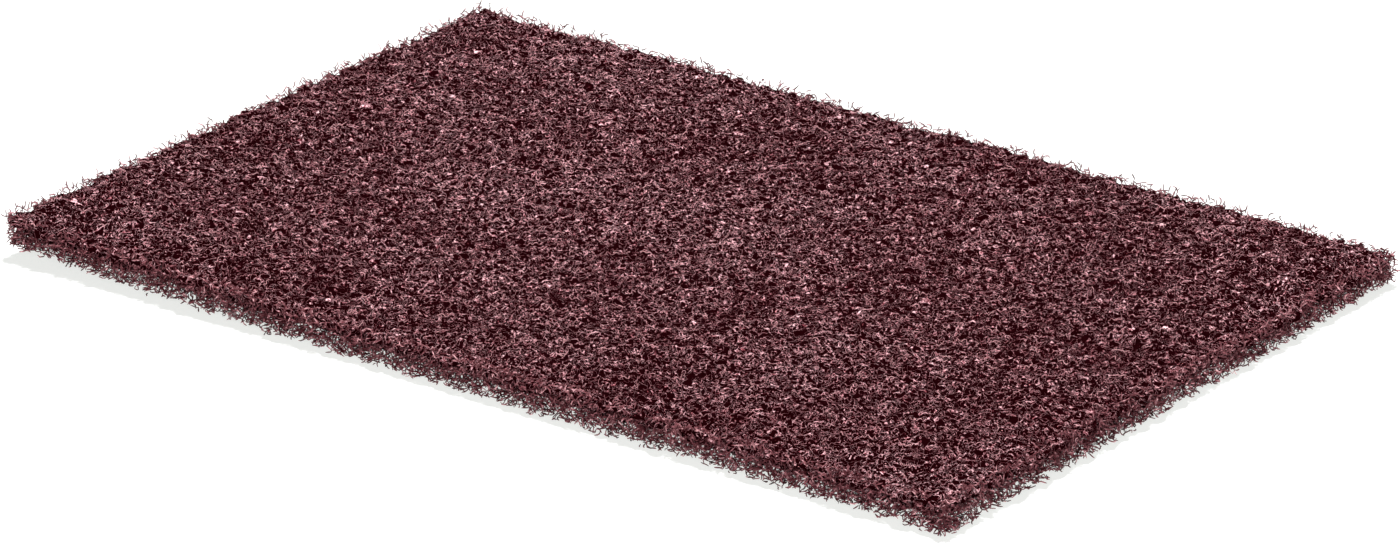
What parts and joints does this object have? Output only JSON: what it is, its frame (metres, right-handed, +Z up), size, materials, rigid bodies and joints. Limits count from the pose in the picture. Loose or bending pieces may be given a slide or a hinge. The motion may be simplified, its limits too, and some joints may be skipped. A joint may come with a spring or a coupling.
{
  "type": "nylon scouring pad",
  "caption": "Flat rectangular scouring pad of lofty maroon nonwoven nylon web, with ragged die-cut edges and one corner slightly curled up.",
  "frame": {"origin": "centre of the pad's outline, on the plane that the underside rests on", "axes": "+X along the pad's length, +Y along its width, +Z up through its thickness; the curled corner is the one at -X, -Y"},
  "size_m": [0.229, 0.152, 0.0104],
  "materials": {
    "abrasive_web": "matt crimped nylon fibre bonded with maroon abrasive resin"
  },
  "bodies": {
    "root": {"scouring_pad": "abrasive_web"}
  },
  "joints": []
}
